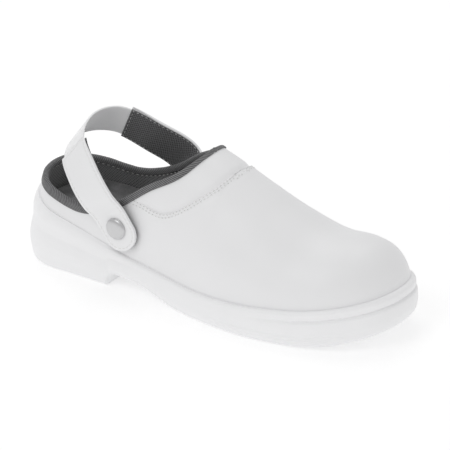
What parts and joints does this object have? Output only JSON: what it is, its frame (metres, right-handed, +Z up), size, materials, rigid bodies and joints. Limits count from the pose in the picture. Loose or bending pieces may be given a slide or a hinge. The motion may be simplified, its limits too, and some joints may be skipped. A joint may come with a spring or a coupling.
{
  "type": "strapped clog",
  "caption": "White closed-toe work clog for the right foot, moulded sole with low heel, padded collar and swinging heel strap on capped rivets.",
  "frame": {"origin": "centre of the heel tread, on the floor that the clog stands on", "axes": "+X along the shoe to the toe, +Y to the inner side of the right foot, +Z up"},
  "size_m": [0.292, 0.1068, 0.1063],
  "materials": {
    "sole_polyurethane": "satin",
    "upper_microfibre": "satin",
    "binding_knit": "matte",
    "insole_felt": "matte",
    "strap_microfibre": "satin",
    "loop_polyurethane": "satin",
    "rivet_steel": "satin"
  },
  "bodies": {
    "root": {"sole": "sole_polyurethane", "upper": "upper_microfibre", "collar_binding": "binding_knit", "insole": "insole_felt", "strap_leg_lateral": "strap_microfibre", "strap_leg_medial": "strap_microfibre", "strap_loop": "loop_polyurethane", "rivet_lateral": "rivet_steel", "rivet_medial": "rivet_steel"}
  },
  "joints": []
}
